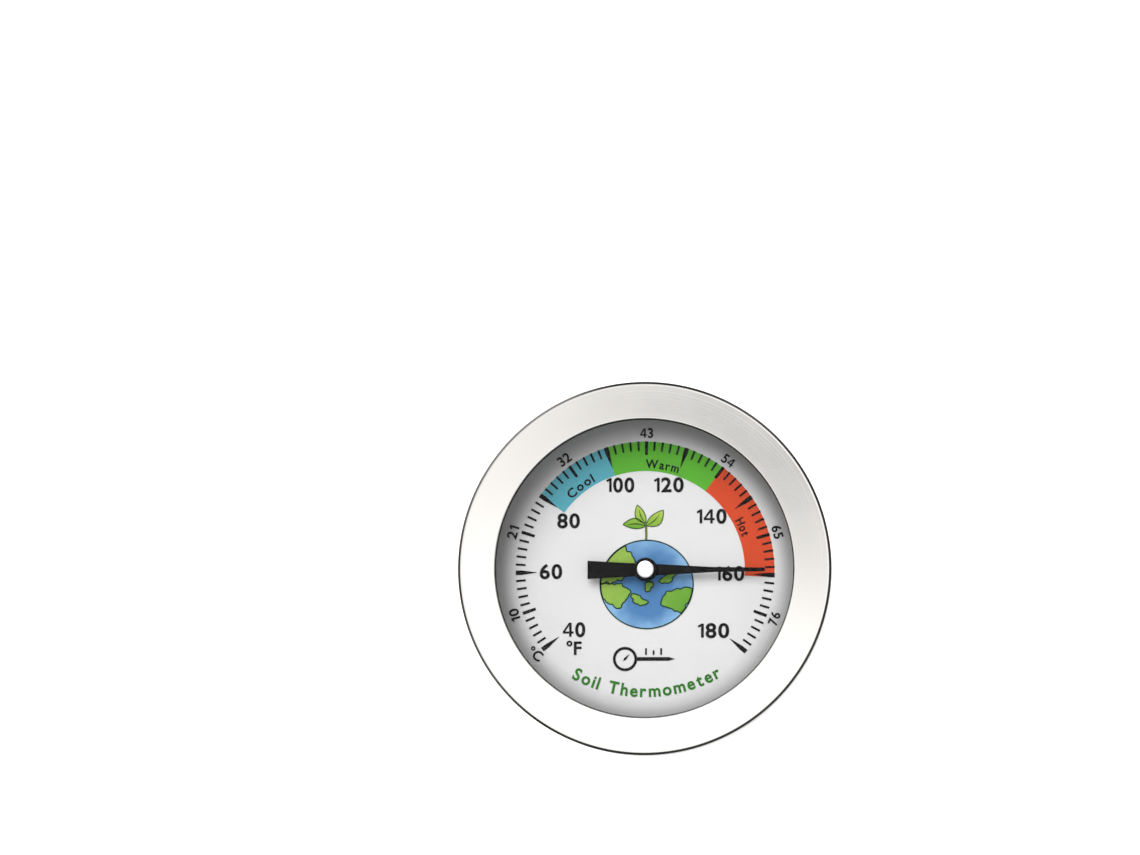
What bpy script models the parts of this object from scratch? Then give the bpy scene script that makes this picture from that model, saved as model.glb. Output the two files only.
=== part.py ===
"""Bimetal dial thermometer on a long stem, for soil and compost heaps.

The part's origin is the point of the stem. +Z runs up the stem to the dial, +Y is the top
of the dial, and +X is its three o'clock, where the pointer rests. Three groups of pieces
turn against each other about the stem's axis: the probe, the head and the pointer.
"""

import math

import bmesh
import bpy

MM = 0.001

# Driving dimensions
STEM_LENGTH = 508.0 * MM  # point of the tip to the underside of the nut
STEM_RADIUS = 3.0 * MM
STEM_WALL = 0.5 * MM
TIP_LENGTH = 6.6 * MM
BEZEL_RADIUS = 30.6 * MM
WINDOW_RADIUS = 24.5 * MM
NUT_ACROSS_FLATS = 12.3 * MM
POINTER_REACH = 19.6 * MM

# Gaps between pieces
SEAT_GAP = 0.1 * MM  # between pieces stacked on each other
FIT_GAP = 0.05 * MM  # around pieces held in a bore
RUNNING_GAP = 0.08 * MM  # around pieces that turn in a bore

# Thicknesses
CASE_SHEET = 0.6 * MM
FLANGE_SHEET = 0.5 * MM
BEZEL_SHEET = 0.65 * MM
LENS_THICKNESS = 1.6 * MM
GASKET_THICKNESS = 0.45 * MM
SPACER_HEIGHT = 2.3 * MM
NUT_HEIGHT = 2.5 * MM

# Heights of the head's layers, from the nut up to the front of the bezel
NUT_BOTTOM = STEM_LENGTH
NUT_TOP = NUT_BOTTOM + NUT_HEIGHT
CASE_BOTTOM = NUT_TOP + 0.6 * MM
CASE_BACK = CASE_BOTTOM + 2.5 * MM
FLANGE_BOTTOM = CASE_BACK + 5.4 * MM
DIAL_FLANGE_BOTTOM = FLANGE_BOTTOM + FLANGE_SHEET + SEAT_GAP
DIAL_FLANGE_TOP = DIAL_FLANGE_BOTTOM + FLANGE_SHEET
SPACER_BOTTOM = DIAL_FLANGE_TOP + SEAT_GAP
LENS_BOTTOM = SPACER_BOTTOM + SPACER_HEIGHT + SEAT_GAP
GASKET_BOTTOM = LENS_BOTTOM + LENS_THICKNESS + SEAT_GAP
BEZEL_INNER_FACE = GASKET_BOTTOM + GASKET_THICKNESS + SEAT_GAP
BEZEL_FRONT = BEZEL_INNER_FACE + BEZEL_SHEET
DIAL_PLANE = DIAL_FLANGE_TOP - 2.2 * MM
CASE_FLOOR = CASE_BOTTOM + CASE_SHEET
WASHER_BOTTOM = CASE_FLOOR + SEAT_GAP
BUSHING_BOTTOM = WASHER_BOTTOM + 1.0 * MM
TUBE_TOP = 516.0 * MM

# Radii in the head
CASE_RADIUS = 26.8 * MM
CONE_TOP_RADIUS = 13.5 * MM
CONE_BOTTOM_RADIUS = 7.0 * MM
BAND_BORE_RADIUS = BEZEL_RADIUS - 0.6 * MM
FLANGE_RADIUS = BAND_BORE_RADIUS - SEAT_GAP
LAYER_RADIUS = 29.4 * MM  # dial flange and spacer
DISH_INNER_RADIUS = 21.8 * MM
DISH_OUTER_RADIUS = 25.4 * MM

# Inside the stem
SHAFT_RADIUS = 0.4 * MM
SHAFT_BORE_RADIUS = SHAFT_RADIUS + RUNNING_GAP
TUBE_BORE_RADIUS = STEM_RADIUS - STEM_WALL
INSERT_RADIUS = TUBE_BORE_RADIUS - RUNNING_GAP
SPIGOT_TOP = TIP_LENGTH + 7.4 * MM
ANCHOR_HEIGHT = 2.8 * MM
COIL_RADIUS = 1.75 * MM
COIL_STRIP = 0.25 * MM
COIL_STRIP_HEIGHT = 1.5 * MM
COIL_PITCH = 2.1 * MM
COIL_TURNS = 18
COIL_BOTTOM = SPIGOT_TOP + ANCHOR_HEIGHT + 3 * SEAT_GAP
COLLAR_BOTTOM = COIL_BOTTOM + COIL_TURNS * COIL_PITCH + COIL_STRIP_HEIGHT + 2 * SEAT_GAP
COLLAR_HEIGHT = 3.4 * MM
GUIDE_HEIGHT = 2.5 * MM
GUIDE_COUNT = 4
FIRST_GUIDE = 130.0 * MM
GUIDE_SPACING = 100.0 * MM

# Pointer, above the dial
POINTER_BOTTOM = DIAL_PLANE + 1.5 * MM
POINTER_THICKNESS = 0.3 * MM
POINTER_TAIL = 9.6 * MM
HUB_RADIUS = 1.95 * MM
CAP_RADIUS = 1.4 * MM
HUB_BOTTOM = POINTER_BOTTOM + POINTER_THICKNESS + FIT_GAP
HUB_HEIGHT = 0.75 * MM
CAP_HEIGHT = 0.5 * MM
SHAFT_TOP = HUB_BOTTOM + HUB_HEIGHT

# Facets round each piece
LARGE_STEPS = 56
MEDIUM_STEPS = 32
SMALL_STEPS = 20
SHAFT_STEPS = 12
NUT_STEPS = 36
COIL_STEPS = 8
WASHER_STEPS = 30
SMOOTH_ANGLE = math.radians(35)
MERGE_DISTANCE = 1e-7

# Colour, roughness and metallic value of each finish
FINISHES = {
    "polished_steel": ((0.80, 0.78, 0.75), 0.22, 1.0),
    "brushed_steel": ((0.72, 0.71, 0.69), 0.35, 1.0),
    "spring_steel": ((0.55, 0.55, 0.56), 0.40, 1.0),
    "bimetal": ((0.66, 0.58, 0.46), 0.38, 1.0),
    "brass": ((0.78, 0.60, 0.30), 0.30, 1.0),
    "aluminium": ((0.85, 0.85, 0.86), 0.35, 1.0),
    "glass": ((0.95, 0.97, 0.96), 0.03, 0.0),
    "white_enamel": ((0.80, 0.80, 0.80), 0.35, 0.0),
    "black_paint": ((0.02, 0.02, 0.02), 0.45, 0.0),
    "rubber": ((0.03, 0.03, 0.03), 0.70, 0.0),
    "nylon": ((0.86, 0.84, 0.78), 0.50, 0.0),
}


def clear_scene():
    for old in list(bpy.data.objects):
        bpy.data.objects.remove(old)


def finish_material(piece_name, finish):
    """A Principled material of the piece's own, in the named finish."""
    colour, roughness, metallic = FINISHES[finish]
    material = bpy.data.materials.new(piece_name)
    material.use_nodes = True
    shader = material.node_tree.nodes["Principled BSDF"]
    shader.inputs["Base Color"].default_value = (*colour, 1.0)
    shader.inputs["Roughness"].default_value = roughness
    shader.inputs["Metallic"].default_value = metallic
    if finish == "glass":
        shader.inputs["Transmission Weight"].default_value = 1.0
    return material


def body_frame(name, height):
    """An empty on the stem's axis, which one group of pieces is parented to."""
    frame = bpy.data.objects.new(name, None)
    frame.location = (0.0, 0.0, height)
    bpy.context.collection.objects.link(frame)
    return frame


def add_piece(name, bm, finish, frame, base):
    """Turn a bmesh drawn from height zero into a piece whose base is at the given height."""
    bmesh.ops.remove_doubles(bm, verts=bm.verts, dist=MERGE_DISTANCE)
    bmesh.ops.recalc_face_normals(bm, faces=bm.faces)
    mesh = bpy.data.meshes.new(name)
    bm.to_mesh(mesh)
    bm.free()
    mesh.shade_smooth()
    mesh.set_sharp_from_angle(angle=SMOOTH_ANGLE)
    mesh.materials.append(finish_material(name, finish))
    piece = bpy.data.objects.new(name, mesh)
    piece.parent = frame
    piece.location = (0.0, 0.0, base - frame.location.z)
    bpy.context.collection.objects.link(piece)
    return piece


def turned(name, outline, steps, finish, frame, base):
    """A turned piece. Its outline is (radius, height above base); one that starts and ends
    on the axis is left open there, and any other is closed into a ring."""
    bm = bmesh.new()
    points = [bm.verts.new((radius, 0.0, height)) for radius, height in outline]
    pairs = list(zip(points, points[1:]))
    if outline[0][0] > 0.0:
        pairs.append((points[-1], points[0]))
    edges = [bm.edges.new(pair) for pair in pairs]
    bmesh.ops.spin(
        bm,
        geom=points + edges,
        cent=(0.0, 0.0, 0.0),
        axis=(0.0, 0.0, 1.0),
        angle=math.tau,
        steps=steps,
        use_merge=True,
    )
    return add_piece(name, bm, finish, frame, base)


def ring(name, inner, outer, height, steps, finish, frame, base):
    """A flat ring or sleeve with square edges."""
    outline = [(inner, 0.0), (outer, 0.0), (outer, height), (inner, height)]
    return turned(name, outline, steps, finish, frame, base)


def swept_ring(sections):
    """A bmesh of one closed ring, from a list of sections of equal length around the axis."""
    bm = bmesh.new()
    loops = [[bm.verts.new(point) for point in section] for section in sections]
    join_loops(bm, loops + loops[:1])
    return bm


def join_loops(bm, loops):
    """Quads between each loop of points and the next."""
    for near, far in zip(loops, loops[1:]):
        count = len(near)
        for i in range(count):
            j = (i + 1) % count
            bm.faces.new((near[i], near[j], far[j], far[i]))


def around(radius, angle, height):
    return (radius * math.cos(angle), radius * math.sin(angle), height)


def arc(centre, radius, start, end, count):
    """Points on an arc in the outline's plane, with angles in degrees."""
    points = []
    for i in range(count + 1):
        angle = math.radians(start + (end - start) * i / count)
        points.append((centre[0] + radius * math.cos(angle), centre[1] + radius * math.sin(angle)))
    return points


# Probe


def make_stem_tube(frame):
    ring("stem_tube", TUBE_BORE_RADIUS, STEM_RADIUS, TUBE_TOP - TIP_LENGTH - SEAT_GAP,
         MEDIUM_STEPS, "brushed_steel", frame, TIP_LENGTH + SEAT_GAP)


def make_tip_plug(frame):
    nose = 0.75 * MM
    outline = [(0.0, 0.0)]
    outline += arc((0.0, nose), nose, -60, -20, 2)
    outline += [
        (STEM_RADIUS, TIP_LENGTH),
        (INSERT_RADIUS, TIP_LENGTH),
        (INSERT_RADIUS, SPIGOT_TOP),
        (0.0, SPIGOT_TOP),
    ]
    turned("tip_plug", outline, MEDIUM_STEPS, "brushed_steel", frame, 0.0)


def make_coil_anchor(frame):
    outline = [
        (0.0, 0.0),
        (INSERT_RADIUS, 0.0),
        (INSERT_RADIUS, ANCHOR_HEIGHT),
        (0.0, ANCHOR_HEIGHT),
    ]
    turned("coil_anchor", outline, SMALL_STEPS, "brass", frame, SPIGOT_TOP + SEAT_GAP)


def make_bimetal_coil(frame):
    """A flat strip wound edge to edge into a helix, with square ends."""
    bm = bmesh.new()
    inner = COIL_RADIUS - COIL_STRIP / 2
    outer = COIL_RADIUS + COIL_STRIP / 2
    loops = []
    for i in range(COIL_TURNS * COIL_STEPS + 1):
        angle = math.tau * i / COIL_STEPS
        low = COIL_PITCH * i / COIL_STEPS
        high = low + COIL_STRIP_HEIGHT
        corners = [(inner, low), (outer, low), (outer, high), (inner, high)]
        loops.append([bm.verts.new(around(radius, angle, height)) for radius, height in corners])
    join_loops(bm, loops)
    bm.faces.new(loops[0])
    bm.faces.new(loops[-1])
    add_piece("bimetal_coil", bm, "bimetal", frame, COIL_BOTTOM)


def make_shaft_guides(frame):
    for i in range(GUIDE_COUNT):
        ring(f"shaft_guide_{i + 1}", SHAFT_BORE_RADIUS, INSERT_RADIUS, GUIDE_HEIGHT,
             SMALL_STEPS, "nylon", frame, FIRST_GUIDE + i * GUIDE_SPACING)


def make_top_bearing(frame):
    depth = 3.0 * MM
    lip = 0.3 * MM
    lip_radius = STEM_RADIUS - FIT_GAP
    outline = [
        (SHAFT_BORE_RADIUS, 0.0),
        (INSERT_RADIUS, 0.0),
        (INSERT_RADIUS, depth),
        (lip_radius, depth),
        (lip_radius, depth + lip),
        (SHAFT_BORE_RADIUS, depth + lip),
    ]
    turned("top_bearing", outline, SMALL_STEPS, "brass", frame, TUBE_TOP + SEAT_GAP - depth)


def make_stem_bushing(frame):
    """Flanged sleeve fixed to the stem; the wave washer pushes on its flange."""
    bore = STEM_RADIUS + FIT_GAP
    sleeve_radius = 4.2 * MM
    flange_radius = 6.0 * MM
    flange_height = 1.0 * MM
    height = TUBE_TOP - BUSHING_BOTTOM
    outline = [
        (bore, 0.0),
        (flange_radius, 0.0),
        (flange_radius, flange_height),
        (sleeve_radius, flange_height),
        (sleeve_radius, height),
        (bore, height),
    ]
    turned("stem_bushing", outline, MEDIUM_STEPS, "brushed_steel", frame, BUSHING_BOTTOM)


def make_wave_washer(frame):
    inner = 3.6 * MM
    outer = 6.2 * MM
    thickness = 0.3 * MM
    wave = 0.27 * MM
    waves = 3
    sections = []
    for i in range(WASHER_STEPS):
        angle = math.tau * i / WASHER_STEPS
        low = wave * (1.0 + math.cos(waves * angle))
        high = low + thickness
        corners = [(inner, low), (outer, low), (outer, high), (inner, high)]
        sections.append([around(radius, angle, height) for radius, height in corners])
    add_piece("wave_washer", swept_ring(sections), "spring_steel", frame, WASHER_BOTTOM)


def make_neck_seal(frame):
    section_radius = 0.22 * MM
    centre = (STEM_RADIUS + FIT_GAP + section_radius, section_radius)
    outline = arc(centre, section_radius, 0, 360, 6)[:-1]
    base = (NUT_TOP + CASE_BOTTOM) / 2 - section_radius
    turned("neck_seal", outline, SMALL_STEPS, "rubber", frame, base)


def make_calibration_nut(frame):
    """Thin hexagon nut, one flat to the front, its corners turned down by chamfers."""
    bore = STEM_RADIUS + FIT_GAP
    flat_radius = NUT_ACROSS_FLATS / 2
    face_radius = flat_radius - 0.1 * MM
    chamfer_slope = math.tan(math.radians(30))
    side = math.tau / 6
    sections = []
    for i in range(NUT_STEPS):
        angle = math.tau * i / NUT_STEPS
        from_flat = angle % side - side / 2
        radius = flat_radius / math.cos(from_flat)
        drop = (radius - face_radius) * chamfer_slope
        section = [
            (bore, 0.0),
            (face_radius, 0.0),
            (radius, drop),
            (radius, NUT_HEIGHT - drop),
            (face_radius, NUT_HEIGHT),
            (bore, NUT_HEIGHT),
        ]
        sections.append([around(r, angle, height) for r, height in section])
    add_piece("calibration_nut", swept_ring(sections), "polished_steel", frame, NUT_BOTTOM)


# Head


def make_case_shell(frame):
    """Pressed back of the head: a shallow cone, a flat back, a wall and a flange."""
    bore = STEM_RADIUS + RUNNING_GAP
    back = CASE_BACK - CASE_BOTTOM
    flange = FLANGE_BOTTOM - CASE_BOTTOM
    corner = 1.0 * MM
    wall_inner = CASE_RADIUS - CASE_SHEET
    slope_shift = 0.2 * MM
    outline = [
        (bore, 0.0),
        (CONE_BOTTOM_RADIUS, 0.0),
        (CONE_TOP_RADIUS, back),
    ]
    outline += arc((CASE_RADIUS - corner, back + corner), corner, -90, 0, 3)
    outline += [
        (CASE_RADIUS, flange),
        (FLANGE_RADIUS, flange),
        (FLANGE_RADIUS, flange + FLANGE_SHEET),
        (wall_inner, flange + FLANGE_SHEET),
    ]
    outline += arc((CASE_RADIUS - corner, back + corner), corner - CASE_SHEET, 0, -90, 2)
    outline += [
        (CONE_TOP_RADIUS - slope_shift, back + CASE_SHEET),
        (CONE_BOTTOM_RADIUS - slope_shift, CASE_SHEET),
        (bore, CASE_SHEET),
    ]
    turned("case_shell", outline, LARGE_STEPS, "brushed_steel", frame, CASE_BOTTOM)


def make_dial_plate(frame):
    """Flat disc whose rim rises in a curve to a flange."""
    steps = 3
    centre_hole = 1.2 * MM
    top = [(centre_hole, DIAL_PLANE)]
    for i in range(steps + 1):
        along = i / steps
        radius = DISH_INNER_RADIUS + (DISH_OUTER_RADIUS - DISH_INNER_RADIUS) * along
        top.append((radius, DIAL_PLANE + (DIAL_FLANGE_TOP - DIAL_PLANE) * along**2))
    top.append((LAYER_RADIUS, DIAL_FLANGE_TOP))
    under = [(radius, height - FLANGE_SHEET) for radius, height in reversed(top)]
    base = DIAL_PLANE - FLANGE_SHEET
    outline = [(radius, height - base) for radius, height in top + under]
    turned("dial_plate", outline, LARGE_STEPS, "white_enamel", frame, base)


def make_spacer_ring(frame):
    ring("spacer_ring", DISH_OUTER_RADIUS + 2 * SEAT_GAP, LAYER_RADIUS, SPACER_HEIGHT,
         LARGE_STEPS, "aluminium", frame, SPACER_BOTTOM)


def make_lens(frame):
    radius = LAYER_RADIUS - 4 * SEAT_GAP
    chamfer = 0.15 * MM
    outline = [
        (0.0, 0.0),
        (radius - chamfer, 0.0),
        (radius, chamfer),
        (radius, LENS_THICKNESS - chamfer),
        (radius - chamfer, LENS_THICKNESS),
        (0.0, LENS_THICKNESS),
    ]
    turned("lens", outline, LARGE_STEPS, "glass", frame, LENS_BOTTOM)


def make_lens_gasket(frame):
    ring("lens_gasket", WINDOW_RADIUS - 1.5 * SEAT_GAP, LAYER_RADIUS - SEAT_GAP,
         GASKET_THICKNESS, LARGE_STEPS, "rubber", frame, GASKET_BOTTOM)


def make_bezel(frame):
    """Ring that holds the head together: a front face that falls away slightly outwards,
    a band round the layers, and a curl under the case's flange."""
    curl_top = FLANGE_BOTTOM - 2 * SEAT_GAP
    curl_bottom = curl_top - 0.6 * MM
    curl_radius = CASE_RADIUS + 0.5 * MM
    front = BEZEL_FRONT - curl_bottom
    under = BEZEL_INNER_FACE - curl_bottom
    curl = curl_top - curl_bottom
    face_edge = BEZEL_RADIUS - 1.0 * MM
    face_fall = 0.25 * MM
    round_over = 0.75 * MM
    lip = 0.15 * MM
    outline = [
        (curl_radius, 0.0),
        (BEZEL_RADIUS - lip, 0.0),
        (BEZEL_RADIUS, lip),
        (BEZEL_RADIUS, front - face_fall - round_over),
        (BEZEL_RADIUS - round_over / 4, front - face_fall - round_over / 3),
        (face_edge, front - face_fall),
        (WINDOW_RADIUS + lip, front),
        (WINDOW_RADIUS, front - lip),
        (WINDOW_RADIUS, under),
        (BAND_BORE_RADIUS - BEZEL_SHEET, under),
        (BAND_BORE_RADIUS, under - BEZEL_SHEET / 2),
        (BAND_BORE_RADIUS, curl),
        (curl_radius, curl),
    ]
    turned("bezel", outline, LARGE_STEPS, "polished_steel", frame, curl_bottom)


# Pointer assembly


def make_pointer_shaft(frame):
    bottom = COLLAR_BOTTOM + SEAT_GAP
    length = SHAFT_TOP - bottom
    outline = [(0.0, 0.0), (SHAFT_RADIUS, 0.0), (SHAFT_RADIUS, length), (0.0, length)]
    turned("pointer_shaft", outline, SHAFT_STEPS, "spring_steel", frame, bottom)


def make_coil_collar(frame):
    ring("coil_collar", SHAFT_RADIUS + FIT_GAP, COIL_RADIUS + COIL_STRIP / 2, COLLAR_HEIGHT,
         SMALL_STEPS, "brass", frame, COLLAR_BOTTOM)


def make_pointer(frame):
    """Flat needle: a tapered blade to +X and a tail that widens to -X."""
    half_outline = [
        (POINTER_REACH, 0.30 * MM),
        (11.0 * MM, 0.42 * MM),
        (1.0 * MM, 0.97 * MM),
        (-1.0 * MM, 1.02 * MM),
        (-POINTER_TAIL, 1.52 * MM),
    ]
    outline = half_outline + [(x, -y) for x, y in reversed(half_outline)]
    bm = bmesh.new()
    face = bm.faces.new([bm.verts.new((x, y, 0.0)) for x, y in outline])
    raised = bmesh.ops.extrude_face_region(bm, geom=[face])["geom"]
    top = [item for item in raised if isinstance(item, bmesh.types.BMVert)]
    bmesh.ops.translate(bm, verts=top, vec=(0.0, 0.0, POINTER_THICKNESS))
    pointer = add_piece("pointer", bm, "black_paint", frame, POINTER_BOTTOM)
    drill(pointer, SHAFT_RADIUS + FIT_GAP, POINTER_THICKNESS)


def drill(piece, radius, depth):
    """A hole through the piece's origin, cut by a cylinder longer than the piece is thick."""
    bm = bmesh.new()
    bmesh.ops.create_cone(
        bm, cap_ends=True, segments=SHAFT_STEPS, radius1=radius, radius2=radius, depth=4 * depth
    )
    mesh = bpy.data.meshes.new(piece.name + "_drill")
    bm.to_mesh(mesh)
    bm.free()
    cutter = bpy.data.objects.new(piece.name + "_drill", mesh)
    cutter.parent = piece.parent
    cutter.location = piece.location
    cutter.hide_render = True
    cutter.display_type = "WIRE"
    bpy.context.collection.objects.link(cutter)
    hole = piece.modifiers.new("shaft_hole", "BOOLEAN")
    hole.operation = "DIFFERENCE"
    hole.object = cutter


def make_pointer_hub(frame):
    bore = SHAFT_RADIUS + FIT_GAP
    chamfer = 0.15 * MM
    outline = [
        (bore, 0.0),
        (HUB_RADIUS, 0.0),
        (HUB_RADIUS, HUB_HEIGHT - chamfer),
        (HUB_RADIUS - chamfer, HUB_HEIGHT),
        (bore, HUB_HEIGHT),
    ]
    turned("pointer_hub", outline, SMALL_STEPS, "black_paint", frame, HUB_BOTTOM)


def make_pointer_cap(frame):
    dome = 0.2 * MM
    outline = [
        (0.0, 0.0),
        (CAP_RADIUS, 0.0),
        (CAP_RADIUS, CAP_HEIGHT - dome),
        (0.7 * CAP_RADIUS, CAP_HEIGHT - dome / 4),
        (0.0, CAP_HEIGHT),
    ]
    turned("pointer_cap", outline, SMALL_STEPS, "aluminium", frame, SHAFT_TOP + SEAT_GAP)


def main():
    clear_scene()
    probe = body_frame("probe_frame", 0.0)
    make_stem_tube(probe)
    make_tip_plug(probe)
    make_coil_anchor(probe)
    make_bimetal_coil(probe)
    make_shaft_guides(probe)
    make_top_bearing(probe)
    make_stem_bushing(probe)
    make_wave_washer(probe)
    make_neck_seal(probe)
    make_calibration_nut(probe)

    head = body_frame("head_frame", CASE_BOTTOM)
    make_case_shell(head)
    make_dial_plate(head)
    make_spacer_ring(head)
    make_lens(head)
    make_lens_gasket(head)
    make_bezel(head)

    pointer = body_frame("pointer_frame", DIAL_PLANE)
    make_pointer_shaft(pointer)
    make_coil_collar(pointer)
    make_pointer(pointer)
    make_pointer_hub(pointer)
    make_pointer_cap(pointer)


main()
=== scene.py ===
"""The looks of a soil thermometer: a glazed dial head on a long pointed steel stem.

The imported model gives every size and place. Each turned piece is rebuilt with rounded
edges round its CAD solid's box, the dial gets its print, and every piece a procedural
material. The camera looks down on the dial.
"""

import functools
import math

import bmesh
import bpy
from mathutils import Matrix, Vector


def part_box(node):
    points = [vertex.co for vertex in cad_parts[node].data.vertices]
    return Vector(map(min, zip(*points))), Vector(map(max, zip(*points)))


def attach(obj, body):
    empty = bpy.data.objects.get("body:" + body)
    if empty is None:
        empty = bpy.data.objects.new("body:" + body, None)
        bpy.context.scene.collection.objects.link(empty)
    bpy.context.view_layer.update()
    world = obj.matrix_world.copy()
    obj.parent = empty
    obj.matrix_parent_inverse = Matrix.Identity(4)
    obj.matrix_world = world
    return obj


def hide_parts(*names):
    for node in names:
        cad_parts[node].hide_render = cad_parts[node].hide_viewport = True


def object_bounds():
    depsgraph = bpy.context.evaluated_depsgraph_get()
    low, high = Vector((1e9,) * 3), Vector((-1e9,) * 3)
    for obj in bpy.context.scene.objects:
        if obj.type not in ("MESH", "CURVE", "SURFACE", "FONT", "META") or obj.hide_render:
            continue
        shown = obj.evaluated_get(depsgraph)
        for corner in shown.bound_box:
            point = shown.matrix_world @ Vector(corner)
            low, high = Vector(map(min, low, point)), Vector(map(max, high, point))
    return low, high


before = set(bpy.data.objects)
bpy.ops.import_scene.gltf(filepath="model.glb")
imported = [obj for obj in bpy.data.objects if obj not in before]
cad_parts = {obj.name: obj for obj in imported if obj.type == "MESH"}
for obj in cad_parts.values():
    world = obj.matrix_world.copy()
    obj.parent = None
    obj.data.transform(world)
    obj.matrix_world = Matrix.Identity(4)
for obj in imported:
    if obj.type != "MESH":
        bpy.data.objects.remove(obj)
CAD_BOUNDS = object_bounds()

MM = 0.001

# ---- sizes from the boxes of the CAD pieces

BEZEL_LOW, BEZEL_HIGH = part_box("bezel")
CASE_LOW, CASE_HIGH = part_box("case_shell")
DIAL_LOW, DIAL_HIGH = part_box("dial_plate")

# ---- sizes inside the boxes

WINDOW_RADIUS = 24.5 * MM
DIAL_SHEET = 0.5 * MM
DIAL_HOLE_RADIUS = 1.2 * MM
DISH_INNER_RADIUS = 21.8 * MM
DISH_OUTER_RADIUS = 25.4 * MM
DIAL_PLANE = DIAL_LOW.z + DIAL_SHEET
STEM_RADIUS = 3.0 * MM
STEM_WALL = 0.5 * MM

# Printed scale, in degrees Fahrenheit and degrees of arc counted anticlockwise from +X
SCALE_LOW = 40
SCALE_HIGH = 180
MINOR_STEP = 2
LABEL_STEP = 20
MIDDLE_READING = 110
MIDDLE_ANGLE = 89.3
DEGREES_PER_READING = 1.832
TICK_OUTER = 21.38 * MM
BAND_OUTER = 21.33 * MM
BAND_INNER = 16.45 * MM
CELSIUS_RADIUS = 22.72 * MM

# The print sits a little to the left of the pointer's axis
PRINT_SHIFT = Vector((-0.20, 0.0)) * MM

# Heights of the printed layers over the dial
INK = 0.02 * MM
LAYER = 0.02 * MM
TOP_LAYER = 3  # scale and lettering
LINE_LAYER = 4  # outlines of the picture

ROUND_SEGMENTS = 192
SMALL_SEGMENTS = 64
ON_AXIS = 1e-9  # a radius up to this is a point on the axis
WELD_DISTANCE = 1e-7

# Slopes of the bezel's face, of the bead round it and of its chamfered edge
FACE_SLOPE = math.radians(2.9)
BEAD_SLOPE = math.radians(11.0)
EDGE_SLOPE = math.radians(37.0)
LEAN_HEIGHT = 0.43 * MM  # the top of the band leans in by this much of its height

# View: how wide it is at the bezel's front, and where the dial lies in it
VIEW_WIDTH = 186.4 * MM
DIAL_RIGHT_OF_CENTRE = 12.1 * MM
DIAL_BELOW_CENTRE = 22.9 * MM
VIEW_TILT_RIGHT = math.radians(3.0)
VIEW_TILT_DOWN = math.radians(3.8)
LENS_LENGTH = 150.0
SENSOR_WIDTH = 36.0


# ---- mesh building


def link_object(name, data):
    made = bpy.data.objects.new(name, data)
    bpy.context.scene.collection.objects.link(made)
    return made


def mesh_object(name, bm, material):
    """Finish a bmesh as an object."""
    mesh = bpy.data.meshes.new(name)
    bm.to_mesh(mesh)
    bm.free()
    mesh.materials.append(material)
    return link_object(name, mesh)


def add_object(name, bm, material, body, smooth_angle=40.0):
    """Finish a bmesh as a shown piece that rides on a body."""
    bmesh.ops.remove_doubles(bm, verts=bm.verts, dist=WELD_DISTANCE)
    bmesh.ops.recalc_face_normals(bm, faces=bm.faces)
    piece = mesh_object(name, bm, material)
    piece.data.shade_smooth()
    piece.data.set_sharp_from_angle(angle=math.radians(smooth_angle))
    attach(piece, body)
    return piece


def around(radius, angle, height):
    return (radius * math.cos(angle), radius * math.sin(angle), height)


def filleted(corners, steps):
    """Round the corners of a closed outline. Each corner is (radius, height, fillet)."""
    outline = []
    count = len(corners)
    for i, (x, y, fillet) in enumerate(corners):
        here = Vector((x, y))
        back = Vector(corners[i - 1][:2]) - here
        ahead = Vector(corners[(i + 1) % count][:2]) - here
        if fillet == 0.0:
            outline.append((x, y))
        else:
            outline += fillet_points(here, back.normalized(), ahead.normalized(), fillet, steps)
    return outline


def fillet_points(corner, back, ahead, radius, steps):
    """Arc that joins the two sides of a corner."""
    half = back.angle(ahead) / 2
    reach = radius / math.tan(half)
    centre = corner + (back + ahead).normalized() * (radius / math.sin(half))
    first = corner + back * reach - centre
    last = corner + ahead * reach - centre
    turn = first.angle_signed(last)
    points = []
    for i in range(steps + 1):
        spoke = first.copy()
        spoke.rotate(Matrix.Rotation(-turn * i / steps, 2))
        points.append(tuple(centre + spoke))
    return points


def arc(width, rise, centre_height, first, last, steps):
    """Points of an ellipse round a centre on the axis, between two angles in degrees."""
    angles = [math.radians(first + (last - first) * i / steps) for i in range(steps + 1)]
    return [(width * math.cos(a), centre_height + rise * math.sin(a)) for a in angles]


def guarded(outline, guard=0.04 * MM):
    """Add a point near each end of every long side, so that shading stays flat between bends."""
    points = []
    for i, point in enumerate(outline):
        here = Vector(point)
        ahead = Vector(outline[(i + 1) % len(outline)]) - here
        points.append(point)
        if ahead.length > 4 * guard:
            step = ahead.normalized() * guard
            points.append(tuple(here + step))
            points.append(tuple(here + ahead - step))
    return points


def lathe(outline, segments=ROUND_SEGMENTS):
    """A bmesh turned about the stem's axis. An outline that starts on the axis is left open
    there; any other is closed into a ring."""
    bm = bmesh.new()
    spokes = [math.tau * k / segments for k in range(segments)]
    rings = []
    for radius, height in outline:
        angles = spokes if radius > ON_AXIS else spokes[:1]
        rings.append([bm.verts.new(around(radius, angle, height)) for angle in angles])
    pairs = list(zip(rings, rings[1:]))
    if outline[0][0] > ON_AXIS:
        pairs.append((rings[-1], rings[0]))
    for lower, upper in pairs:
        bridge(bm, lower, upper, segments)
    return bm


def bridge(bm, lower, upper, segments):
    """Faces between two rings, either of which may be a single point on the axis."""
    for k in range(segments):
        m = (k + 1) % segments
        if len(lower) == 1:
            bm.faces.new((lower[0], upper[k], upper[m]))
        elif len(upper) == 1:
            bm.faces.new((lower[k], upper[0], lower[m]))
        else:
            bm.faces.new((lower[k], upper[k], upper[m], lower[m]))


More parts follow.
